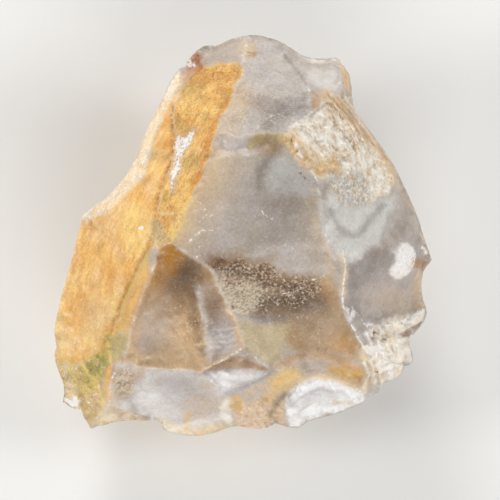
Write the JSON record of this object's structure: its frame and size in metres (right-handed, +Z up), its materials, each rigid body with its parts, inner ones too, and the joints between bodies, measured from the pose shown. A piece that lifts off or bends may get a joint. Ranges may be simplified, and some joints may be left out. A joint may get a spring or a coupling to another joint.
{
  "type": "flint nodule",
  "caption": "Chunky knapped fragment of a flint nodule: flake scars above, rounded stained rind below, resting on a small worn flat.",
  "frame": {"origin": "on the ground, under the middle of the bounding box", "axes": "+Z up, away from the worn flat it rests on and toward the flake scars; +Y toward the narrow blunt end, the longest side; +X to the right when seen from above with the narrow end away from the viewer"},
  "size_m": [0.0272, 0.0288, 0.02],
  "materials": {
    "flint": "grey and ochre flint, waxy flake scars and gritty cortex"
  },
  "bodies": {
    "root": {"flint_nodule": "flint"}
  },
  "joints": []
}
